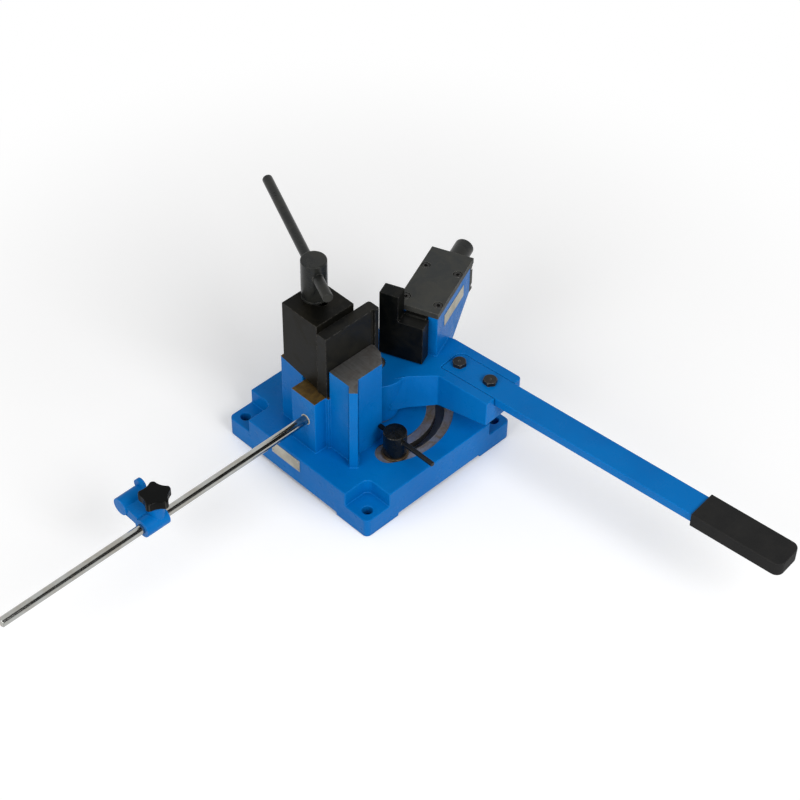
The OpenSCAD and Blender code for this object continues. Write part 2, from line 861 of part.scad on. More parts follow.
module lever_bar() {
    color(blue) lever_frame() difference() {
        translate([0, 0, arm_z - lever_t]) linear_extrude(lever_t) lever_plan(lever_u1, 0);
        bolt_places() translate([0, 0, arm_z - lever_t - over])
            cylinder(r = bolt_thread_d / 2 + press_gap, h = lever_t + 2 * over);
    }
}

// The grip's plan: rounded at its far end
module grip_plan() {
    half = lever_w / 2 + grip_over;
    u0 = lever_u1 + grip_over * 2 - grip_l;
    u1 = lever_u1 + grip_over * 2;
    translate([u0, lever_v - half]) square([u1 - grip_r - u0, 2 * half]);
    translate([u0, lever_v - half + grip_r]) square([u1 - u0, 2 * (half - grip_r)]);
    for (side = [-1, 1])
        translate([u1 - grip_r, lever_v + side * (half - grip_r)]) circle(grip_r);
}

module lever_grip() {
    z0 = arm_z - lever_t;
    color(rubber) lever_frame() difference() {
        translate([0, 0, z0 - grip_wall]) linear_extrude(lever_t + 2 * grip_wall) grip_plan();
        translate([lever_u1 - 2 * grip_l, lever_v - lever_w / 2, z0])
            cube([2 * grip_l, lever_w, lever_t]);
    }
}

module lever_bolts() {
    color(black) lever_frame() bolt_places() {
        translate([0, 0, arm_z]) hex(bolt_af, bolt_head_h);
        translate([0, 0, bolt_end_z]) cylinder(d = bolt_thread_d, h = arm_z - bolt_end_z + sink);
    }
}

module ram() {
    shank_z0 = channel_z + shank_gap;
    shank_h = column_z - shank_gap - shank_z0;
    color(black) arm_frame() difference() {
        union() {
            translate([ram_s0, ram_t0, ram_z0]) cube([ram_t, ram_w, ram_foot_z - ram_z0]);
            translate([ram_s0, ram_t1 - finger_w, ram_z0]) cube([ram_t, finger_w, ram_z - ram_z0]);
            translate([ram_s1 - sink, column_mid - shank_w / 2, shank_z0])
                cube([shank_s1 - ram_s1 + sink, shank_w, shank_h]);
        }
        translate([ram_bore_s0, column_mid, screw_z]) rotate([0, 90, 0])
            cylinder(r = ram_thread_d / 2 + run_gap, h = shank_s1);
    }
}

module ram_screw() {
    collar_s0 = column_s1 - slide_gap - collar_l;
    color(black) arm_frame() translate([0, column_mid, screw_z]) rotate([0, 90, 0]) difference() {
        union() {
            translate([0, 0, ram_tip_s]) cylinder(d = ram_thread_d, h = column_s1 - ram_tip_s);
            translate([0, 0, collar_s0]) cylinder(d = collar_d, h = collar_l);
            translate([0, 0, collar_s0]) cylinder(d = ram_screw_d, h = ram_screw_s1 - collar_s0);
        }
        translate([0, 0, ram_screw_s1 - socket_depth]) hex(socket_af, socket_depth + over);
    }
}

module cover_plate() {
    color(black) arm_frame() difference() {
        translate([column_s0 - cover_over, column_t0 - cover_over, column_z])
            cube([column_l + end_t + cover_over, column_w + 2 * cover_over, cover_t]);
        cover_screw_places() translate([0, 0, -cover_t - over])
            cylinder(r = small_d / 2 + press_gap, h = cover_t + 2 * over);
        cover_screw_places() translate([0, 0, -small_bore_depth])
            cylinder(d = small_bore_d, h = small_bore_depth + over);
    }
}

module cover_screws() {
    color(black) arm_frame() cover_screw_places()
        translate([0, 0, small_head_h - small_bore_depth])
            socket_screw(small_d, small_head_d, small_head_h, small_bite, small_hex,
                small_hex_depth);
}

module end_plate() {
    color(black) arm_frame() difference() {
        translate([column_s1, column_t0, heel_z]) cube([end_t, column_w, column_z - heel_z]);
        translate([column_s1 - over, column_mid, screw_z]) rotate([0, 90, 0])
            cylinder(r = ram_screw_d / 2 + run_gap, h = end_t + 2 * over);
        end_screw_places() translate([0, 0, -end_t - over])
            cylinder(r = small_d / 2 + press_gap, h = end_t + 2 * over);
        end_screw_places() translate([0, 0, -small_bore_depth])
            cylinder(d = small_bore_d, h = small_bore_depth + over);
    }
}

module end_plate_screws() {
    color(black) arm_frame() end_screw_places()
        translate([0, 0, small_head_h - small_bore_depth])
            socket_screw(small_d, small_head_d, small_head_h, small_bite, small_hex,
                small_hex_depth);
}

module column_label() {
    color(pale) arm_frame() translate([label_s0, column_t0 - label_t, label_z0])
        cube([label_l, label_t, label_h]);
}

// The angle stop's own frame, on its axis, with Y towards the front
module at_stop() {
    at_pivot() rotate(stop_angle) translate([land_r, 0, 0]) rotate(-stop_angle) children();
}

module angle_stop_screw() {
    color(black) at_stop() difference() {
        union() {
            translate([0, 0, stop_z0]) cylinder(d = stop_d, h = stop_h - head_bevel);
            translate([0, 0, stop_z1 - head_bevel])
                cylinder(d1 = stop_d, d2 = stop_d - 2 * head_bevel, h = head_bevel);
            translate([0, 0, ceiling_z - stop_nut_t]) cylinder(d = stop_screw_d,
                h = stop_z0 - ceiling_z + stop_nut_t + sink);
        }
        translate([0, -stop_d, stop_bar_z]) rotate([-90, 0, 0])
            cylinder(r = stop_bar_d / 2 + run_gap, h = 2 * stop_d);
    }
}

module angle_stop_washer() {
    color(steel) at_stop() translate([0, 0, land_z + slide_gap]) difference() {
        cylinder(r = stop_washer_r, h = stop_washer_t - slide_gap);
        translate([0, 0, -over])
            cylinder(r = stop_screw_d / 2 + run_gap, h = stop_washer_t + 2 * over);
    }
}

// The nut under the base, with a round tongue that runs in the slot
module angle_stop_nut() {
    top = ceiling_z - slide_gap;
    color(steel) at_stop() difference() {
        union() {
            rotate(stop_angle)
                translate([-stop_nut_w / 2, -stop_nut_l / 2, top - stop_nut_t])
                    cube([stop_nut_w, stop_nut_l, stop_nut_t]);
            translate([0, 0, top - sink]) cylinder(d = tongue_w, h = tongue_h + sink);
        }
        translate([0, 0, top - stop_nut_t - over])
            cylinder(r = stop_screw_d / 2 + run_gap, h = stop_nut_t + tongue_h + 2 * over);
    }
}

module angle_stop_bar() {
    color(black) at_stop() translate([0, stop_bar_back, stop_bar_z]) rotate([90, 0, 0])
        cylinder(d = stop_bar_d, h = stop_bar_l);
}

base_casting();
type_plate();
type_plate_rivets();
pivot_bush();
thrust_washer();
clamp_block();
jaw_plate();
jaw_screws();
clamp_ring();
clamp_screw();
clamp_tee_bar();
stop_rod();
rod_set_screw();
rod_slider();
slider_stud();
star_knob();
swing_arm();
pivot_shaft();
shaft_pin();
pivot_washer();
pivot_nut();
lever_bar();
lever_grip();
lever_bolts();
ram();
ram_screw();
cover_plate();
cover_screws();
end_plate();
end_plate_screws();
column_label();
angle_stop_screw();
angle_stop_washer();
angle_stop_nut();
angle_stop_bar();
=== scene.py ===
# %% [markdown]
# # A bench angle bender
# The CAD model gives every piece its size and place. This lesson dresses it: the castings get
# rounded edges and enamel, the steel gets its black oxide or its machined look, and the
# fasteners are set out with Geometry Nodes. Everything is in metres, in the CAD model's frame:
# X along the jaws, Z up, and the origin between the four bench bolts.

# %% Load the CAD model as a fixed frame
import json
import math

import bmesh
import bpy
from mathutils import Matrix, Vector


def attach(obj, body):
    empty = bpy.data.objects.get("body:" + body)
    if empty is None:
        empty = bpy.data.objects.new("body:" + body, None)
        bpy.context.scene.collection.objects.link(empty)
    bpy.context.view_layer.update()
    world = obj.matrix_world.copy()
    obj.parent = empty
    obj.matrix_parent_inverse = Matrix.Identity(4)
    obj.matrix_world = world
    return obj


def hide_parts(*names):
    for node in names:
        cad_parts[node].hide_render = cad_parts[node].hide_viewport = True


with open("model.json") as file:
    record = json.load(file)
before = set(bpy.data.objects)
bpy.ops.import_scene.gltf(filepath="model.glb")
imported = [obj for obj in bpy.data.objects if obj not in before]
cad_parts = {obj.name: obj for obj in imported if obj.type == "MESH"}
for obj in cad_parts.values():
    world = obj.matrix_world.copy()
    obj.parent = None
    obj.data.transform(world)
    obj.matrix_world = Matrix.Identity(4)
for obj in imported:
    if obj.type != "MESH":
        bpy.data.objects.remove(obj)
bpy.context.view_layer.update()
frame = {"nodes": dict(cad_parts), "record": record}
record = frame["record"]
bpy.context.scene.view_settings.view_transform = "Standard"
body_of_node = {n: body for body, names in record["behaviour"]["bodies"].items() for n in names}
MM = 0.001


def put(name, data):
    """Puts a mesh, a lamp or a camera into the scene as an object."""
    thing = bpy.data.objects.new(name, data)
    bpy.context.scene.collection.objects.link(thing)
    return thing


# %% [markdown]
# ## Camera
# The camera was fitted to the photograph by the corners of the base, the tower and the lever.
# Its heading and pitch are turned into three axes, because a camera looks along its own minus Z.

# %% Place the camera
PITCH = math.radians(44.6237)
HEADING = math.radians(-45.2950)
ROLL = math.radians(1.01965)
DISTANCE = 2.531718
ASIDE = 0.0385469
ABOVE = 0.0427116
LENS = 89.978


def camera_axes():
    """The camera's right, up and back directions."""
    back = Vector((
        math.sin(HEADING) * math.cos(PITCH),
        -math.cos(HEADING) * math.cos(PITCH),
        math.sin(PITCH),
    ))
    right = Vector((math.cos(HEADING), math.sin(HEADING), 0.0))
    up = back.cross(right)
    turned_right = right * math.cos(ROLL) + up * math.sin(ROLL)
    turned_up = up * math.cos(ROLL) - right * math.sin(ROLL)
    return turned_right, turned_up, back


right, up, back = camera_axes()
camera_data = bpy.data.cameras.new("camera")
camera_data.lens = LENS
camera = put("camera", camera_data)
place = right * ASIDE + up * ABOVE + back * DISTANCE
camera.matrix_world = Matrix.Translation(place) @ Matrix((right, up, back)).transposed().to_4x4()
bpy.context.scene.camera = camera
print("camera at", [round(v, 3) for v in place])

# %% [markdown]
# ## Node trees in a few words
# A material is a tree of nodes. Written out in full, each node takes four or five lines, so a
# small helper adds a node, fills its inputs and joins it up in one call. An input that is given
# a socket is linked, and anything else is set as a value.

# %% A helper for node trees
class Tree:
    """Adds nodes to a tree, with their inputs filled or linked by name or number."""

    def __init__(self, tree):
        self.tree = tree

    def add(self, kind, inputs=None, **settings):
        node = self.tree.nodes.new(kind)
        for name, value in settings.items():
            setattr(node, name, value)
        for key, value in (inputs or {}).items():
            self.fill(node.inputs[key], value)
        return node

    def fill(self, socket, value):
        if isinstance(value, bpy.types.NodeSocket):
            self.tree.links.new(value, socket)
        else:
            socket.default_value = value


print("Tree:", Tree.__doc__)

# %% [markdown]
# A workshop finish starts with noise: clouds of it, or marks that are noise stretched one way. A
# soft ramp turns noise into patches, and patches mix colours. Everything reads the piece's own
# Object coordinates, so a pattern stays on its piece when a joint moves.

# %% A material with noise and patches
class Surface(Tree):
    """A material whose patterns are noise, ramps and mixed colours."""

    def __init__(self, name, **shader):
        self.material = bpy.data.materials.new(name)
        self.material.use_nodes = True
        super().__init__(self.material.node_tree)
        self.shader = self.tree.nodes["Principled BSDF"]
        self.coordinates = self.add("ShaderNodeTexCoord").outputs["Object"]
        for key, value in shader.items():
            self.shader.inputs[key.replace("_", " ")].default_value = value

    def noise(self, scale, detail=2.0, rough=0.5, stretch=None, warp=0.0):
        vector = self.coordinates
        if stretch:
            vector = self.add("ShaderNodeMapping", {"Vector": vector, "Scale": stretch}).outputs[0]
        return self.add("ShaderNodeTexNoise", {
            "Vector": vector, "Scale": scale, "Detail": detail, "Roughness": rough,
            "Distortion": warp}).outputs["Fac"]

    def ramp(self, value, low, high, start=0.0, end=1.0):
        return self.add("ShaderNodeMapRange", {
            "Value": value, "From Min": low, "From Max": high, "To Min": start, "To Max": end},
            interpolation_type="SMOOTHSTEP").outputs["Result"]

    def math(self, operation, a, b=0.0):
        return self.add("ShaderNodeMath", {0: a, 1: b}, operation=operation).outputs[0]

    def mix(self, share, a, b):
        node = self.add("ShaderNodeMix", data_type="RGBA")
        self.fill(node.inputs["Factor"], share)
        self.fill(node.inputs["A"], a)
        self.fill(node.inputs["B"], b)
        return node.outputs["Result"]


print("Surface:", Surface.__doc__)

# %% [markdown]
# Wear, painted highlights and painted shade follow the shape. An edge is found by the Bevel node,
# whose normal leans away from the face near an edge, and a tight corner by ambient occlusion.
# With these two, a finish reads as a short list of wear, painted highlights and painted shade.

# %% Worn edges, painted shade in corners, and bumps
EDGE_DOTS = (0.995, 0.90)
CORNER_SHARES = (0.75, 0.25)
PROBES = 6


class Finish(Surface):
    """A surface with the wear, the painted shade in corners and the bumps of a workshop."""

    def edges(self, radius):
        """Near 1 on a rounded or sharp edge, and 0 on a flat face."""
        rounded = self.add("ShaderNodeBevel", {"Radius": radius}, samples=PROBES).outputs[0]
        plain = self.add("ShaderNodeNewGeometry").outputs["Normal"]
        dot = self.add("ShaderNodeVectorMath", {0: rounded, 1: plain}, operation="DOT_PRODUCT")
        return self.ramp(dot.outputs["Value"], *EDGE_DOTS)

    def corners(self, distance):
        """Near 1 in a tight corner, where a finish paints shade."""
        open_share = self.add("ShaderNodeAmbientOcclusion", {"Distance": distance},
                              samples=PROBES, only_local=False).outputs["AO"]
        return self.ramp(open_share, *CORNER_SHARES)

    def bump(self, height, distance, strength=1.0, before=None):
        inputs = {"Height": height, "Distance": distance, "Strength": strength}
        if before is not None:
            inputs["Normal"] = before
        return self.add("ShaderNodeBump", inputs).outputs["Normal"]

    def set(self, **sockets):
        for name, value in sockets.items():
            self.fill(self.shader.inputs[name.replace("_", " ")], value)
        return self.material


print("Finish:", Finish.__doc__)

# %% [markdown]
# A colour is easiest to name as a screen shows it, from 0 to 255. A shader works with linear
# light, so each one is turned into that by the standard curve: a short straight part near black,
# and a power of 2.4 above it.

# %% Colours
def shade(red, green, blue):
    """A colour as a picture shows it, 0 to 255, turned into the linear values of a shader."""
    def linear(value):
        value = value / 255
        return value / 12.92 if value <= 0.04045 else ((value + 0.055) / 1.055) ** 2.4
    return (linear(red), linear(green), linear(blue), 1.0)


print("a middle grey is", round(shade(128, 128, 128)[0], 3), "in linear light")

# %% [markdown]
# ## Blue enamel
# The castings and the lever wear one thick coat of mid-blue enamel. Under it the sand casting is
# a little wavy, so the gloss wobbles. Three scales of noise do that: slow waves, the grain of
# the sand, and the fine skin of the paint. Tight corners get a darker blue as painted shade, and
# the edges a lighter one, partly as thin worn paint and partly as a painted highlight, with a few
# small chips.

# %% Blue enamel
PAINT_EDGE = 2.2 * MM
CORNER_SHADE_REACH = 14 * MM


def blue_enamel(name, sand, waves):
    """The paint over a casting, or with less sand over the flat lever bar."""
    finish = Finish(name, IOR=1.48, Specular_IOR_Level=0.09)
    tint = finish.ramp(finish.noise(9.0, 3.0), 0.35, 0.65)
    colour = finish.mix(tint, shade(0, 101, 175), shade(0, 109, 184))
    edge = finish.edges(PAINT_EDGE)
    # Lighter along the edges: partly thin, worn paint and partly a painted highlight.
    colour = finish.mix(finish.math("MULTIPLY", edge, 0.35), colour, shade(24, 126, 200))
    # Darker in tight corners, found by ambient occlusion: painted shade.
    painted_corner_shade = finish.math("MULTIPLY", finish.corners(CORNER_SHADE_REACH), 0.40)
    colour = finish.mix(painted_corner_shade, colour, shade(2, 56, 112))
    speckle = finish.ramp(finish.noise(520.0, 3.0, 0.7), 0.66, 0.74)
    chip = finish.math("MULTIPLY", finish.math("MULTIPLY", speckle, edge), 0.8)
    colour = finish.mix(chip, colour, shade(70, 62, 50))
    rough = finish.ramp(finish.noise(70.0, 4.0), 0.3, 0.7, 0.26, 0.40)
    slow = finish.bump(finish.noise(38.0, 2.0), waves)
    grain = finish.bump(finish.noise(260.0, 3.0, 0.6), sand, before=slow)
    skin = finish.bump(finish.noise(900.0, 2.0), sand * 0.25, before=grain)
    return finish.set(Base_Color=colour, Roughness=rough, Normal=skin)


enamel = blue_enamel("blue_enamel", 0.00022, 0.0009)
lever_enamel = blue_enamel("lever_enamel", 0.00006, 0.0004)
print("enamel:", len(enamel.node_tree.nodes), "nodes")

# %% [markdown]
# ## Machined faces
# The fixed jaw's top, the seat and the land round the slot are milled bare after painting. A
# milled face has fine parallel marks, and bare iron soon gets brown and grey patches. The marks
# are noise that is stretched along the cutter's way and mixed darker, as painted shade in their
# grooves, and the patches are slow noise.

# %% Machined iron, and the land round the slot
PIVOT = Vector((0.004, -0.005, 0.0))


def machined(name, light, dark, marks, rough=0.42):
    finish = Finish(name, Metallic=0.75)
    patch = finish.ramp(finish.noise(55.0, 5.0, 0.65, warp=0.6), 0.32, 0.68)
    cut = finish.noise(1.0, 3.0, 0.6, stretch=marks)
    colour = finish.mix(patch, light, dark)
    # The cutter's marks are mixed darker: painted shade in their fine grooves.
    colour = finish.mix(finish.ramp(cut, 0.35, 0.75, 0.0, 0.30), colour, shade(42, 40, 36))
    height = finish.bump(cut, 0.00008, 0.5)
    return finish.set(Base_Color=colour, Normal=height,
                      Roughness=finish.ramp(patch, 0.0, 1.0, rough, rough + 0.16))


def turned_land(name, light, dark):
    """A face cut on a lathe: the marks are rings round the pivot."""
    finish = Finish(name, Metallic=0.7)
    centred = finish.add("ShaderNodeMapping", {
        "Vector": finish.coordinates, "Location": -PIVOT}).outputs[0]
    rings = finish.add("ShaderNodeTexWave", {
        "Vector": centred, "Scale": 190.0, "Distortion": 1.5, "Detail": 3.0,
        "Detail Scale": 2.0}, wave_type="RINGS", rings_direction="Z").outputs["Fac"]
    patch = finish.ramp(finish.noise(60.0, 5.0, 0.65, warp=0.5), 0.35, 0.68)
    colour = finish.mix(patch, light, dark)
    # The rings are mixed darker: painted shade in their fine grooves.
    colour = finish.mix(finish.math("MULTIPLY", rings, 0.25), colour, shade(44, 42, 40))
    height = finish.bump(rings, 0.00004, 0.4)
    return finish.set(Base_Color=colour, Normal=height,
                      Roughness=finish.ramp(patch, 0.0, 1.0, 0.38, 0.55))


pad_iron = machined("pad_iron", shade(112, 112, 111), shade(90, 87, 84), (420.0, 30.0, 30.0))
seat_iron = machined("seat_iron", shade(128, 102, 52), shade(84, 64, 30), (40.0, 500.0, 40.0), 0.5)
bore_iron = machined("bore_iron", shade(70, 68, 66), shade(38, 36, 34), (300.0, 300.0, 30.0), 0.5)
land_iron = turned_land("land_iron", shade(166, 164, 168), shade(128, 112, 90))
print("machined iron:", [iron.name for iron in (pad_iron, seat_iron, bore_iron, land_iron)])

# %% [markdown]
# ## Black steel
# The jaws, the ram, the plates and the screws are steel with a black oxide skin. It is nearly
# black but not dead: it has a satin sheen, brown and grey clouds, and a bright line wherever an
# edge has been rubbed bare. Ground faces keep fine scratches, so those are stretched noise.

# %% Black oxide steel
RUBBED_EDGE = 0.9 * MM
CLOUD_LIFT = (12, 10, 6)
TURNING_MARKS = (90.0, 90.0, 1400.0)


def black_oxide(name, tone, scratches, rough=0.34, cloud=0.22, rub=0.55, gloss=0.08):
    finish = Finish(name, Metallic=0.15, IOR=1.5, Specular_IOR_Level=gloss)
    cloudy = finish.ramp(finish.noise(34.0, 5.0, 0.7, warp=0.8), 0.35, 0.7)
    fine = finish.noise(1.0, 4.0, 0.6, stretch=scratches)
    lifted = [value + lift for value, lift in zip(tone, CLOUD_LIFT)]
    base = finish.mix(cloudy, shade(*tone), shade(*lifted))
    base = finish.mix(finish.ramp(fine, 0.55, 0.85, 0.0, cloud), base, shade(72, 70, 66))
    edge = finish.edges(RUBBED_EDGE)
    worn = finish.ramp(finish.noise(160.0, 3.0), 0.30, 0.62)
    base = finish.mix(finish.math("MULTIPLY", finish.math("MULTIPLY", edge, worn), rub),
                      base, shade(150, 146, 138))
    height = finish.bump(fine, 0.00005, 0.5)
    height = finish.bump(finish.noise(420.0, 3.0), 0.00006, 0.6, before=height)
    return finish.set(Base_Color=base, Normal=height,
                      Roughness=finish.ramp(cloudy, 0, 1, rough, rough + 0.14))


block_steel = black_oxide("block_steel", (12, 12, 10), (60.0, 60.0, 900.0))
jaw_steel = black_oxide("jaw_steel", (24, 25, 25), (700.0, 60.0, 90.0), rough=0.38)
ram_steel = black_oxide("ram_steel", (8, 10, 11), (50.0, 50.0, 700.0), rough=0.30, cloud=0.12)
cover_steel = black_oxide("cover_steel", (55, 57, 57), (120.0, 120.0, 120.0),
                          rough=0.42, cloud=0.15)
turned_steel = black_oxide("turned_steel", (28, 30, 30), TURNING_MARKS,
                           rough=0.26, cloud=0.35, rub=0.6, gloss=0.22)
stop_steel = black_oxide("stop_steel", (9, 12, 14), TURNING_MARKS,
                         rough=0.20, cloud=0.2, rub=0.6, gloss=0.22)
screw_steel = black_oxide("screw_steel", (22, 23, 25), (400.0, 400.0, 400.0),
                          rough=0.28, cloud=0.3, rub=0.5, gloss=0.25)
print("black oxide:", len(block_steel.node_tree.nodes), "nodes in each of seven steels")

# %% [markdown]
# ## Bright metals
# The chromed rod is nearly a mirror, and its life comes from what it reflects, so it has only
# faint lengthwise grinding and a few rubbed places. Bare steel, bronze and the blank plates are
# the same idea with other colours and rougher marks, so one function makes them all.

# %% Bright metals
def bright_metal(name, light, dark, rough, marks, metal=1.0):
    finish = Finish(name, Metallic=metal)
    fine = finish.noise(1.0, 3.0, 0.6, stretch=marks)
    patch = finish.ramp(finish.noise(45.0, 4.0, 0.6), 0.35, 0.7)
    colour = finish.mix(finish.math("MULTIPLY", patch, 0.6), light, dark)
    height = finish.bump(fine, 0.00002, 0.35)
    return finish.set(Base_Color=colour, Normal=height,
                      Roughness=finish.ramp(fine, 0.3, 0.7, rough, rough + 0.12))


bright_steel = bright_metal("bright_steel", shade(186, 186, 186), shade(136, 132, 126), 0.26,
                            (60.0, 60.0, 1200.0))
chrome = bright_metal("chrome", shade(172, 173, 170), shade(146, 138, 124), 0.06,
                      (8.0, 900.0, 900.0))
brown_steel = bright_metal("brown_steel", shade(112, 92, 66), shade(66, 52, 38), 0.38,
                           (300.0, 300.0, 300.0), 0.7)
bronze = bright_metal("bronze", shade(176, 132, 74), shade(118, 84, 44), 0.34,
                      (400.0, 400.0, 40.0))
bare_plate = bright_metal("bare_plate", shade(186, 182, 168), shade(140, 136, 122), 0.46,
                          (40.0, 500.0, 500.0), 0.55)
print("bright metals:", [metal.name for metal in (bright_steel, chrome, brown_steel, bronze)])

# %% [markdown]
# ## Rubber and plastic
# The grip is matt rubber with a pebbled skin, and the knob is moulded plastic with a soft shine.
# The pebbles are a texture of smooth cells used as a bump, with a little dust in slow patches.

# %% Rubber and plastic
MOULDED_EDGE = 1.6 * MM


def moulded(name, tone, rough, pebble_scale, pebble_height, dust, gloss):
    finish = Finish(name, IOR=1.5, Specular_IOR_Level=gloss)
    pebbles = finish.add("ShaderNodeTexVoronoi", {
        "Vector": finish.coordinates, "Scale": pebble_scale},
        feature="SMOOTH_F1").outputs["Distance"]
    patch = finish.ramp(finish.noise(40.0, 4.0, 0.6), 0.4, 0.75)
    colour = finish.mix(finish.math("MULTIPLY", patch, dust), shade(*tone), shade(92, 90, 86))
    edge = finish.math("MULTIPLY", finish.edges(MOULDED_EDGE), 0.16)
    colour = finish.mix(edge, colour, shade(120, 118, 112))
    height = finish.bump(pebbles, pebble_height, 0.6)
    return finish.set(Base_Color=colour, Normal=height,
                      Roughness=finish.ramp(patch, 0, 1, rough, rough + 0.15))


grip_rubber = moulded("grip_rubber", (30, 30, 30), rough=0.62, pebble_scale=900.0,
                      pebble_height=0.00025, dust=0.08, gloss=0.10)
knob_plastic = moulded("knob_plastic", (5, 6, 6), rough=0.22, pebble_scale=1500.0,
                       pebble_height=0.00003, dust=0.01, gloss=0.07)
print("finishes so far:", len(bpy.data.materials))

# %% [markdown]
# ## From CAD mesh to rounded piece
# A packed CAD mesh is loose triangles with knife edges. Real castings are round at every edge,
# and even a ground block has its edges broken, and those thin rounds are what catches the light.
# The first step is to merge the doubles and to join each flat face into one polygon, because a
# bevel that meets the diagonals of triangles comes out ragged.

# %% Loose triangles to whole faces
FLAT = math.radians(0.25)
WELD = 0.002 * MM


def merged(node):
    """A copy of a CAD node's mesh, with its loose triangles joined at their corners."""
    work = bmesh.new()
    work.from_mesh(frame["nodes"][node].data)
    bmesh.ops.remove_doubles(work, verts=work.verts, dist=WELD)
    return work


def is_flat(edge):
    return len(edge.link_faces) == 2 and edge.calc_face_angle(math.pi) < FLAT


def straightness(edge):
    """How squarely an edge meets the sharp edges at its ends: 1 is square, 0 is along them."""
    best = 1.0
    along = (edge.verts[1].co - edge.verts[0].co).normalized()
    for corner in edge.verts:
        for other in corner.link_edges:
            if other is not edge and not is_flat(other):
                way = (other.verts[1].co - other.verts[0].co).normalized()
                best = min(best, along.cross(way).length)
    return best


def join_flats(work):
    """Joins the triangles of each flat face, and keeps the squarest edges where it has holes."""
    flats = [edge for edge in work.edges if is_flat(edge)]
    bmesh.ops.beautify_fill(work, faces=work.faces, edges=flats, use_restrict_tag=False)
    flats = sorted((edge for edge in work.edges if is_flat(edge)), key=straightness)
    for edge in flats:
        if edge.is_valid and len(edge.link_faces) == 2:
            bmesh.utils.face_join(edge.link_faces)


print("an edge is flat below", round(math.degrees(FLAT), 2), "degrees")

# %% [markdown]
# A finished piece becomes a plain mesh, because it has to look the same in every program. It
# rides on the body of the CAD node that it stands for, and the node is hidden.

# %% Settle a finished piece
def settle(rough, name, *replaced, body=None):
    """Turns an object with live modifiers into a plain mesh, rides it and hides the CAD nodes."""
    bpy.context.view_layer.update()
    evaluated = rough.evaluated_get(bpy.context.evaluated_depsgraph_get())
    mesh = bpy.data.meshes.new_from_object(evaluated)
    mesh.name = name
    bpy.data.objects.remove(rough)
    piece = put(name, mesh)
    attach(piece, body or body_of_node[replaced[0]])
    if replaced:
        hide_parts(*replaced)
    print(name, len(mesh.polygons), "faces")
    return piece


# %% [markdown]
# The second step gives every sharp edge a bevel weight for its own width, and lets one Bevel
# modifier round them all. Normals weighted by face area keep the flats flat.

# %% Round a node
SHARP = math.radians(24.0)
BEVEL_SEGMENTS = 3
FACE_WEIGHT = 80


def rounded(node, finishes, width, narrow=None, choose=None):
    """Replaces a CAD node by a copy whose edges are rounded to a width in millimetres.

    narrow(edge) gives a smaller width for an edge, or None; choose(face) gives the finish number.
    """
    work = merged(node)
    join_flats(work)
    work.normal_update()
    weight = work.edges.layers.float.new("bevel_weight_edge")
    for face in work.faces:
        face.smooth = True
        face.material_index = choose(face) if choose else 0
    for edge in work.edges:
        if len(edge.link_faces) == 2 and edge.calc_face_angle(0.0) > SHARP:
            smaller = narrow(edge) if narrow else None
            edge[weight] = 1.0 if smaller is None else smaller / width
            edge.smooth = edge[weight] > 0.0
    mesh = bpy.data.meshes.new(node + "_shape")
    work.to_mesh(mesh)
    work.free()
    for finish in finishes:
        mesh.materials.append(finish)
    rough = put(node + "_shape", mesh)
    bevel = rough.modifiers.new("edges", "BEVEL")
    bevel.limit_method = "WEIGHT"
    bevel.width = width * MM
    bevel.segments = BEVEL_SEGMENTS
    bevel.use_clamp_overlap = False
    bevel.miter_outer = "MITER_ARC"
    flats = rough.modifiers.new("flats", "WEIGHTED_NORMAL")
    flats.weight = FACE_WEIGHT
    flats.keep_sharp = True
    return settle(rough, node + "_piece", node)


print("an edge is sharp above", round(math.degrees(SHARP)), "degrees")

# %% [markdown]
# ## The base casting
# One casting makes the base, the tower and the fixed jaw. Its cast edges are rounded over 1.4 mm,
# and the milled faces have crisp edges with bare iron on them. Each face is told apart by its
# height and its direction, which is safer than by its number, because numbers change when the
# CAD model does.

# %% Which face of the base gets which finish
PAD_Z, LEDGE_Z, LAND_Z, TOP_Z, CEILING_Z = 0.175, 0.1317, 0.0475, 0.049, 0.037
SLOT_RADII = (0.06, 0.105)
LEVEL = 0.2 * MM


def at_height(face, height):
    return all(abs(corner.co.z - height) < LEVEL for corner in face.verts)


def base_finish(face):
    """0 enamel, 1 milled pad, 2 seat and ledge, 3 land, 4 slot walls."""
    centre = face.calc_center_median()
    radius = (centre - PIVOT).to_2d().length
    if face.normal.z > 0.9:
        if at_height(face, PAD_Z):
            return 1
        if LEDGE_Z - MM < centre.z < PAD_Z - 5 * MM:
            return 2
        if at_height(face, LAND_Z):
            return 3
    low, high = min(v.co.z for v in face.verts), max(v.co.z for v in face.verts)
    in_slot = low > CEILING_Z - MM and high < TOP_Z + 0.1 * MM
    if in_slot and SLOT_RADII[0] < radius < SLOT_RADII[1] and abs(face.normal.z) < 0.5:
        return 4
    return 0


print("slot walls lie between", SLOT_RADII, "metres from the pivot")

# %% [markdown]
# Beside the rib, the ledge ends in a corner that is sharper than a bevel can go round. The edges
# in a small ball about it keep a width of nought, and the narrow strip next to it stays crisp.

# %% Round the base
ACUTE_CORNER = (-0.0276, -0.0495, 0.1317)
ACUTE_REACH = 6 * MM
STRIP_REACH = 4 * MM
CRISP = 0.3


def middle_of(edge):
    return (edge.verts[0].co + edge.verts[1].co) / 2


def near(edge, spot, reach):
    """Whether an edge's middle lies within a small ball about a spot."""
    return (middle_of(edge) - Vector(spot)).length < reach


def base_narrow(edge):
    """The milled edges stay crisp, and so do those of the narrow strip beside the rib."""
    if near(edge, ACUTE_CORNER, ACUTE_REACH):
        return 0.0
    strip = (edge.verts[0].co - Vector(ACUTE_CORNER)).to_2d().length < STRIP_REACH
    return CRISP if strip or any(face.material_index for face in edge.link_faces) else None


rounded("base_casting", [enamel, pad_iron, seat_iron, land_iron, bore_iron], 1.4,
        narrow=base_narrow, choose=base_finish)

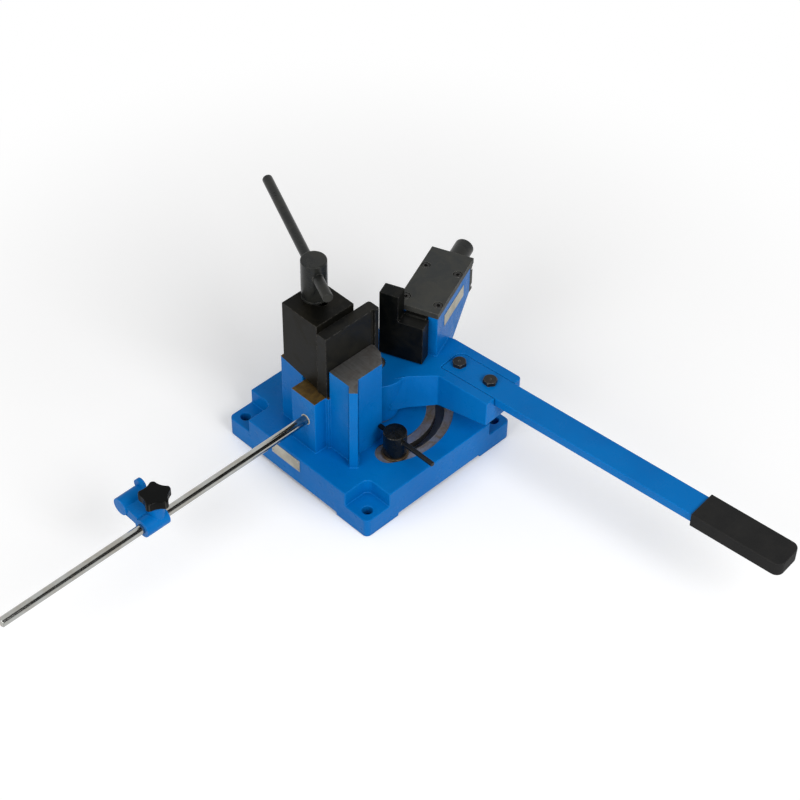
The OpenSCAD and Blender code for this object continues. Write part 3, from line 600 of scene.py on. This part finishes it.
# %% [markdown]
# ## Arm, lever and slider
# The swing arm is a second casting: a hub, an arm for the lever and the column that holds the
# ram. The lever is a flat bar in the same enamel, and the slider on the rod is a small casting of
# tubes that run into each other. Where two tubes meet, or a slope meets the column's foot, the
# rounds would cross and tear, so those edges stay as they are.

# %% Swing arm, lever and slider
COLUMN_FOOT = (0.044, 0.0, 0.126)
COLUMN_FOOT_REACH = 14 * MM


def arm_narrow(edge):
    return 0.0 if near(edge, COLUMN_FOOT, COLUMN_FOOT_REACH) else None


rounded("swing_arm", [enamel], 1.1, narrow=arm_narrow)
rounded("lever_bar", [lever_enamel], 1.0)

STUD_X = sum(corner[0] for corner in frame["nodes"]["star_knob"].bound_box) / 8
SLIDER_TOP = max(corner[2] for corner in frame["nodes"]["rod_slider"].bound_box)
BOSS_REACH = 12 * MM
TINY = 0.001 * MM


def slider_narrow(edge):
    """Only the tube ends and the boss's top are rounded; where tubes meet, the edge stays."""
    first, second = (corner.co for corner in edge.verts)
    end_rim = abs(first.x - second.x) < TINY and abs(first.x - STUD_X) > BOSS_REACH
    top_rim = min(first.z, second.z) > SLIDER_TOP - 0.1 * MM
    return None if end_rim or top_rim else 0.0


rounded("rod_slider", [enamel], 0.6, narrow=slider_narrow)

# %% [markdown]
# Where the chromed rod goes into the tower, the paint stops short and leaves a thin bare ring.
# It is a profile of five points, turned round the rod's axis in even steps. Each step's points are
# written out with sine and cosine, so that the ring's mesh is the same in every run.

# %% The bare ring round the rod
ROD_AXIS = Vector((0.0, 0.0035, 0.096))
BOSS_FACE_X = -0.104
RING_STEPS = 64
RING_PROFILE = ((6.05, -0.6), (7.5, -0.6), (7.5, 0.1), (7.0, 0.4), (6.05, 0.5))


def turned_ring(name, finish, profile, face_x, axis):
    """A closed profile of (radius, depth) in millimetres, turned round an axis along X."""
    corners, faces = [], []
    count = len(profile)
    for step in range(RING_STEPS):
        angle = math.tau * step / RING_STEPS
        here, after = step * count, (step + 1) % RING_STEPS * count
        for i, (radius, depth) in enumerate(profile):
            corners.append((face_x - depth * MM,
                            axis.y + radius * MM * math.sin(angle),
                            axis.z + radius * MM * math.cos(angle)))
            beside = (i + 1) % count
            faces.append((here + i, after + i, after + beside, here + beside))
    mesh = bpy.data.meshes.new(name)
    mesh.from_pydata(corners, [], faces)
    for face in mesh.polygons:
        face.use_smooth = True
    mesh.materials.append(finish)
    return settle(bpy.data.objects.new(name, mesh), name, body="frame")


ring = turned_ring("rod_bare_ring", bare_plate, RING_PROFILE, BOSS_FACE_X, ROD_AXIS)

# %% [markdown]
# ## Black steel blocks, plates and screws
# The clamp block, the jaw plate, the ram and the plates are milled, and the screws and bars are
# turned. Each keeps its CAD shape and gets broken edges, from a quarter of a millimetre on a thin
# plate to more than one on the end of a bar. Where a cross hole breaks through a round head, a
# bevel would fold over itself, so the rims are rounded and the hole stays crisp.

# %% Black steel blocks, plates and screws
BLOCK_SIDE_X = -0.042
BORE_MOUTH_Y = (0.028, 0.044)


def rims_only(bar):
    """For a round head with a cross hole: its level rims are rounded, and the hole stays crisp."""
    heights = [corner[2] for corner in frame["nodes"][bar].bound_box]
    low, high = min(heights) - MM, max(heights) + MM

    def narrow(edge):
        first, second = (corner.co.z for corner in edge.verts)
        return 0.0 if abs(first - second) > TINY or low < first < high else None
    return narrow


def block_narrow(edge):
    """The screw's bore breaks through the block's side, and stays crisp there."""
    middle = middle_of(edge)
    at_mouth = BORE_MOUTH_Y[0] < middle.y < BORE_MOUTH_Y[1]
    return 0.0 if abs(middle.x - BLOCK_SIDE_X) < MM and at_mouth else None


for node, finish, width, narrow in (
    ("clamp_block", block_steel, 0.4, block_narrow),
    ("jaw_plate", jaw_steel, 0.5, None),
    ("ram", ram_steel, 0.7, None),
    ("cover_plate", cover_steel, 0.25, None),
    ("end_plate", cover_steel, 0.25, None),
    ("clamp_ring", turned_steel, 0.5, None),
    ("clamp_screw", turned_steel, 0.7, rims_only("clamp_tee_bar")),
    ("clamp_tee_bar", turned_steel, 1.2, None),
    ("ram_screw", turned_steel, 1.0, None),
    ("angle_stop_screw", stop_steel, 0.7, rims_only("angle_stop_bar")),
    ("angle_stop_bar", stop_steel, 1.0, None),
):
    rounded(node, [finish], width, narrow=narrow)

# %% [markdown]
# ## Rod, knob, grip and small pieces
# These pieces come from other trades: a chromed rod, a moulded knob, a rubber grip, blank plates
# and bronze bushes. Their CAD shapes are right as they are, so each gets only its finish and the
# round that its edges have: wide on moulded plastic, and hardly any on sheet metal. The last six
# are hidden in the pivot, and are seen only when the machine is taken apart.

# %% Rod, knob, grip and small pieces
for node, finish, width in (
    ("stop_rod", chrome, 1.0),
    ("star_knob", knob_plastic, 1.6),
    ("lever_grip", grip_rubber, 0.8),
    ("slider_stud", bright_steel, 0.5),
    ("type_plate", bare_plate, 0.15),
    ("column_label", bare_plate, 0.12),
    ("angle_stop_washer", brown_steel, 0.4),
    ("angle_stop_nut", bright_steel, 0.5),
    ("rod_set_screw", screw_steel, 0.2),
    ("pivot_bush", bronze, 0.15),
    ("thrust_washer", bronze, 0.15),
    ("pivot_shaft", bright_steel, 0.15),
    ("shaft_pin", bright_steel, 0.15),
    ("pivot_washer", bright_steel, 0.15),
    ("pivot_nut", bright_steel, 0.15),
):
    rounded(node, [finish], width)

# %% [markdown]
# ## Screws, bolts and rivets by Geometry Nodes
# Fasteners repeat, so one tree draws them all. A head is a cylinder, or a hexagon for the
# lever's bolts, cut by a wide cone that chamfers its top. A hexagon is then cut out for the key,
# and a shank is added. The tree puts one on each point, turned along the point's own direction,
# with a random turn of the key, because nobody stops a screw at the same angle twice.

# %% A tree that makes shapes
class ShapeTree(Tree):
    """A Geometry Nodes tree with a few solid shapes, and the ways to place and cut them."""

    def number(self, operation, a, b):
        return self.add("ShaderNodeMath", {0: a, 1: b}, operation=operation).outputs[0]

    def upright(self, mesh, height):
        """Moves a mesh along Z, so that its middle is at a height."""
        spot = self.add("ShaderNodeCombineXYZ", {"Z": height}).outputs[0]
        return self.add("GeometryNodeTransform", {
            "Geometry": mesh, "Translation": spot}).outputs[0]

    def cylinder(self, sides, radius, depth):
        return self.add("GeometryNodeMeshCylinder", {
            "Vertices": sides, "Radius": radius, "Depth": depth}).outputs["Mesh"]

    def cut(self, operation, first, second):
        node = self.add("GeometryNodeMeshBoolean", operation=operation, solver="EXACT")
        self.fill(node.inputs["Mesh 1" if operation == "DIFFERENCE" else "Mesh 2"], first)
        self.fill(node.inputs["Mesh 2"], second)
        return node.outputs["Mesh"]


print("ShapeTree:", ShapeTree.__doc__)

# %% [markdown]
# The tree has a named input for each size. A modifier is told a value by the input's identifier,
# not by its name, so the identifiers are kept with the names.

# %% The screw tree's inputs
ROUND_SIDES, SHANK_SIDES, KEY_SIDES = 48, 24, 6
SCREW_SIZES = (
    ("Head Radius", 5.0), ("Head Height", 6.0), ("Chamfer", 0.6), ("Shank Radius", 3.0),
    ("Length", 20.0), ("Key Radius", 2.8), ("Key Depth", 3.0))


class ScrewTree(ShapeTree):
    """A Geometry Nodes tree with named inputs for a screw's sizes."""

    def __init__(self):
        super().__init__(bpy.data.node_groups.new("screws", "GeometryNodeTree"))
        self.names = {}
        self.socket("Points", "Geometry")
        for name, start in SCREW_SIZES:
            self.socket(name, "Float", start * MM)
        self.socket("Sides", "Int", ROUND_SIDES)
        self.socket("Seed", "Int", 7)
        self.socket("Finish", "Material")
        self.tree.interface.new_socket("Mesh", in_out="OUTPUT", socket_type="NodeSocketGeometry")
        self.given = self.add("NodeGroupInput").outputs

    def socket(self, name, kind, start=None):
        """Adds an input, and keeps its identifier with its name."""
        item = self.tree.interface.new_socket(
            name, in_out="INPUT", socket_type="NodeSocket" + kind)
        if start is not None:
            item.default_value = start
        self.names[name] = item.identifier


screws = ScrewTree()
print("screw tree's inputs:", len(screws.names))

# %% [markdown]
# The shape of one screw stands with its top at nought and its shank downwards. Each tool is a
# little longer than what it cuts, because two faces that lie in one plane can spoil a cut.

# %% The shape of one screw
SLACK = 1 * MM


def screw_shape(tree):
    """A chamfered head with a shank, and the key cut out of its top."""
    given, number = tree.given, tree.number
    height = given["Head Height"]
    block_middle = number("MULTIPLY", number("SUBTRACT", height, SLACK), -0.5)
    block_depth = number("ADD", height, SLACK)
    block = tree.upright(
        tree.cylinder(given["Sides"], given["Head Radius"], block_depth), block_middle)

    top_radius = number("SUBTRACT", given["Head Radius"], given["Chamfer"])
    cone_depth = number("ADD", height, 2 * SLACK)
    cone = tree.add("GeometryNodeMeshCone", {
        "Vertices": ROUND_SIDES, "Radius Top": top_radius,
        "Radius Bottom": number("ADD", top_radius, cone_depth),
        "Depth": cone_depth}).outputs["Mesh"]
    cone = tree.upright(cone, number("MULTIPLY", cone_depth, -1.0))
    head = tree.cut("INTERSECT", block, cone)

    shank_depth = number("SUBTRACT", given["Length"], SLACK)
    shank_middle = number("MULTIPLY", number("ADD", given["Length"], SLACK), -0.5)
    shank = tree.upright(
        tree.cylinder(SHANK_SIDES, given["Shank Radius"], shank_depth), shank_middle)
    head = tree.cut("UNION", head, shank)

    key_depth = number("ADD", given["Key Depth"], SLACK)
    key_middle = number("MULTIPLY", number("SUBTRACT", given["Key Depth"], SLACK), -0.5)
    key = tree.upright(tree.cylinder(KEY_SIDES, given["Key Radius"], key_depth), key_middle)
    return tree.cut("DIFFERENCE", head, key)


one_screw = screw_shape(screws)
print("nodes for one screw:", len(screws.tree.nodes))

# %% [markdown]
# Each point carries its direction in an attribute. The screw is first turned along it and then
# about its own axis, by a random angle with a fixed seed, so it comes out the same every time.

# %% One screw on each point
def set_on_points(tree, screw):
    """Instances of the screw on the points, made real and given their finish."""
    given = tree.given
    way = tree.add("GeometryNodeInputNamedAttribute", {"Name": "way"}, data_type="FLOAT_VECTOR")
    turn = tree.add("FunctionNodeAlignRotationToVector", {"Vector": way.outputs[0]}, axis="Z")
    chance = tree.add("FunctionNodeRandomValue", {
        2: 0.0, 3: math.tau, "Seed": given["Seed"]}, data_type="FLOAT")
    spin = tree.add("FunctionNodeAxisAngleToRotation", {
        "Axis": (0.0, 0.0, 1.0), "Angle": chance.outputs[1]})
    turned = tree.add("FunctionNodeRotateRotation", {
        "Rotation": turn.outputs[0], "Rotate By": spin.outputs[0]}, rotation_space="LOCAL")
    placed = tree.add("GeometryNodeInstanceOnPoints", {
        "Points": given["Points"], "Instance": screw, "Rotation": turned.outputs[0]})
    real = tree.add("GeometryNodeRealizeInstances", {"Geometry": placed.outputs[0]})
    painted = tree.add("GeometryNodeSetMaterial", {
        "Geometry": real.outputs[0], "Material": given["Finish"]})
    tree.add("NodeGroupOutput", {"Mesh": painted.outputs[0]})


set_on_points(screws, one_screw)
print("screw tree:", len(screws.tree.nodes), "nodes")

# %% [markdown]
# Each CAD node of fasteners holds a few loose solids. Their tops give the points, so the screws
# stay where the CAD model has them. The head's top sits in the plate's counterbore as modelled.

# %% The loose solids of a node
def loose_parts(work):
    """The corners of each loose solid in a mesh, always in the same order, from the last one."""
    left = set(work.verts)
    parts = []
    for start in reversed(list(work.verts)):
        if start in left:
            left.remove(start)
            part, waiting = set(), [start]
            while waiting:
                corner = waiting.pop()
                part.add(corner)
                for edge in corner.link_edges:
                    other = edge.other_vert(corner)
                    if other in left:
                        left.remove(other)
                        waiting.append(other)
            parts.append(part)
    return parts


screws_work = merged("cover_screws")
print("cover_screws has", len(loose_parts(screws_work)), "solids")
screws_work.free()

# %% [markdown]
# A solid is laid down so that its direction is Z. The middle of its highest end is then the spot
# for the head.

# %% Find the heads
UP = Vector((0.0, 0.0, 1.0))


def heads_of(node, way):
    """The middle of each loose solid's outer end along a direction, and the solids' length."""
    work = merged(node)
    lay = way.rotation_difference(UP)
    tops = []
    for part in loose_parts(work):
        laid = [lay @ corner.co for corner in part]
        low = [min(spot[i] for spot in laid) for i in range(3)]
        high = [max(spot[i] for spot in laid) for i in range(3)]
        top = Vector(((low[0] + high[0]) / 2, (low[1] + high[1]) / 2, high[2]))
        tops.append(lay.inverted() @ top)
        length = high[2] - low[2]
    work.free()
    return tops, length


print("the lever's bolts are", round(heads_of("lever_bolts", UP)[1] / MM, 1), "mm long")

# %% [markdown]
# A small mesh of bare points carries the tree as a modifier. Its sizes are set before the object
# is first evaluated, in millimetres here and in metres on the modifier.

# %% Set the screws
def screw_set(node, way, finish, seed, **sizes):
    """Puts a screw at each head of a CAD node; the sizes are in millimetres."""
    way = Vector(way).normalized()
    tops, length = heads_of(node, way)
    mesh = bpy.data.meshes.new(node + "_points")
    mesh.from_pydata([tuple(top) for top in tops], [], [])
    ways = mesh.attributes.new("way", "FLOAT_VECTOR", "POINT")
    for item in ways.data:
        item.vector = way
    rough = put(node + "_points", mesh)
    modifier = rough.modifiers.new("screws", "NODES")
    modifier.node_group = screws.tree
    for name, value in sizes.items():
        modifier[screws.names[name.replace("_", " ")]] = value * MM
    modifier[screws.names["Length"]] = length
    modifier[screws.names["Seed"]] = seed
    modifier[screws.names["Sides"]] = KEY_SIDES if node == "lever_bolts" else ROUND_SIDES
    modifier[screws.names["Finish"]] = finish
    return settle(rough, node + "_piece", node)


ARM_TURN = math.radians(22.0)
ARM_WAY = (math.cos(ARM_TURN), math.sin(ARM_TURN), 0.0)
SMALL = dict(Head_Radius=5.25, Head_Height=6.0, Chamfer=0.5, Shank_Radius=3.0,
             Key_Radius=2.9, Key_Depth=3.0)
screw_set("cover_screws", UP, screw_steel, seed=3, **SMALL)
screw_set("end_plate_screws", ARM_WAY, screw_steel, seed=5, **SMALL)
screw_set("jaw_screws", (0.0, 1.0, 0.0), screw_steel, seed=8, Head_Radius=6.5,
          Head_Height=8.0, Chamfer=0.7, Shank_Radius=4.0, Key_Radius=3.5, Key_Depth=4.0)
screw_set("lever_bolts", UP, screw_steel, seed=2, Head_Radius=9.2376, Head_Height=5.5,
          Chamfer=1.3, Shank_Radius=5.0, Key_Radius=1.6, Key_Depth=0.4)
rounded("type_plate_rivets", [bright_steel], 0.2)

# %% [markdown]
# ## Light and floor
# The photograph is a cut-out on white, softly lit. Two large round lamps stand low, in front and
# to the left, so that the upright faces get as much light as the tops.

# %% Lamps
AIM = Vector((0.0, 0.0, 0.1))


def area_lamp(name, position, size, power):
    lamp = bpy.data.lights.new(name, "AREA")
    lamp.shape = "DISK"
    lamp.size = size
    lamp.energy = power
    holder = put(name, lamp)
    holder.location = position
    holder.rotation_mode = "QUATERNION"
    holder.rotation_quaternion = (AIM - Vector(position)).to_track_quat("-Z", "Y")


area_lamp("key", (-0.3, -2.35, 1.9), size=1.6, power=50.0)
area_lamp("fill", (-2.3, -0.3, 1.65), size=1.4, power=26.0)
print("lamps:", len(bpy.data.lights))

# %% [markdown]
# The world has two strengths. As a light it is weak, and only fills the shadows. To the camera
# and in reflections it is plain white, as the photograph's ground is.

# %% World
WHITE = (1.0, 1.0, 1.0, 1.0)
FILL_STRENGTH = 0.36

world = bpy.data.worlds.new("studio")
bpy.context.scene.world = world
world.use_nodes = True
sky = Tree(world.node_tree)
sky.tree.nodes.clear()
rays = sky.add("ShaderNodeLightPath").outputs
seen = sky.add("ShaderNodeMath", {0: rays["Is Camera Ray"], 1: rays["Is Glossy Ray"]},
               operation="MAXIMUM")
seen = sky.add("ShaderNodeMath", {0: seen.outputs[0], 1: rays["Is Transmission Ray"]},
               operation="MAXIMUM")
soft = sky.add("ShaderNodeBackground", {"Color": WHITE, "Strength": FILL_STRENGTH})
white = sky.add("ShaderNodeBackground", {"Color": WHITE, "Strength": 1.0})
both = sky.add("ShaderNodeMixShader", {
    0: seen.outputs[0], 1: soft.outputs[0], 2: white.outputs[0]})
sky.add("ShaderNodeOutputWorld", {"Surface": both.outputs[0]})
print("world:", len(sky.tree.nodes), "nodes")

# %% [markdown]
# A white floor keeps the object's soft shadow, but it never comes out quite as white as the
# ground behind it. So it glows a little where the object doesn't stand, and further out it fades
# into pure white. Only the camera and reflections see this glow, so it doesn't light the object.

# %% Floor
FLOOR_HALF = 8.0
FLOOR_Z = -0.4 * MM
SHADOW_RIM = (0.11, 0.18)
GLOW = 0.20
CLEAR_RIM = (0.30, 0.85)

floor_finish = Finish("floor_white", Roughness=0.9)
floor_finish.set(Base_Color=shade(244, 244, 244))
rays = floor_finish.add("ShaderNodeLightPath").outputs
seen = floor_finish.math("MAXIMUM", rays["Is Camera Ray"], rays["Is Glossy Ray"])
away = floor_finish.add("ShaderNodeVectorMath", {0: floor_finish.coordinates},
                        operation="LENGTH").outputs["Value"]
open_floor = floor_finish.ramp(away, *SHADOW_RIM, 0.0, GLOW)
glow = floor_finish.add("ShaderNodeEmission", {"Color": WHITE, "Strength": open_floor})
dark = floor_finish.add("ShaderNodeEmission", {"Strength": 0.0})
lift = floor_finish.add("ShaderNodeMixShader", {0: seen, 1: dark.outputs[0], 2: glow.outputs[0]})
near_floor = floor_finish.add("ShaderNodeAddShader", {
    0: floor_finish.shader.outputs[0], 1: lift.outputs[0]})
far = floor_finish.math("MULTIPLY", seen, floor_finish.ramp(away, *CLEAR_RIM))
clear = floor_finish.add("ShaderNodeEmission", {"Color": WHITE, "Strength": 1.0})
whole = floor_finish.add("ShaderNodeMixShader", {
    0: far, 1: near_floor.outputs[0], 2: clear.outputs[0]})
out = floor_finish.tree.nodes["Material Output"]
floor_finish.fill(out.inputs["Surface"], whole.outputs[0])

floor_mesh = bpy.data.meshes.new("floor")
floor_mesh.from_pydata(
    [(x * FLOOR_HALF, y * FLOOR_HALF, FLOOR_Z) for x, y in ((-1, -1), (1, -1), (1, 1), (-1, 1))],
    [], [(0, 1, 2, 3)])
floor_mesh.materials.append(floor_finish.material)
floor = put("floor", floor_mesh)
print("floor:", len(floor_finish.tree.nodes), "nodes")

# %% [markdown]
# Chrome is only as good as what it mirrors: in an all white studio it looks like white plastic.
# So a dark card hangs off to one side, seen by reflections alone. It gives the round rod its
# dark streak, and it neither shades the object nor shows in the picture.

# %% A dark card for the chrome
ROD_MIDDLE = Vector((-0.33, 0.0035, 0.096))
CARD_MIDDLE = Vector((0.76, -1.35, 1.37))
CARD_HALF_WIDE, CARD_HALF_LONG = 0.9, 1.25
CARD_ALONG = Vector((0.0, 0.671, 0.741))


def dark_card():
    """A rectangle that faces the rod, and that only reflections see."""
    across = CARD_ALONG.cross(CARD_MIDDLE - ROD_MIDDLE).normalized()
    corners = [CARD_MIDDLE + across * CARD_HALF_WIDE * i + CARD_ALONG * CARD_HALF_LONG * j
               for i, j in ((-1, -1), (1, -1), (1, 1), (-1, 1))]
    mesh = bpy.data.meshes.new("dark_card")
    mesh.from_pydata([tuple(corner) for corner in corners], [], [(0, 1, 2, 3)])
    finish = Finish("dark_card", Roughness=1.0, Specular_IOR_Level=0.0)
    mesh.materials.append(finish.set(Base_Color=shade(30, 31, 30)))
    card = put("dark_card", mesh)
    for way in ("camera", "diffuse", "transmission", "volume_scatter", "shadow"):
        setattr(card, "visible_" + way, False)
    return card


card = dark_card()
print("dark card:", round((CARD_MIDDLE - ROD_MIDDLE).length, 2), "metres from the rod")

# %% [markdown]
# ## Sizes
# A round on an outer edge only takes material away, so the dressed machine has to lie inside the
# CAD box.
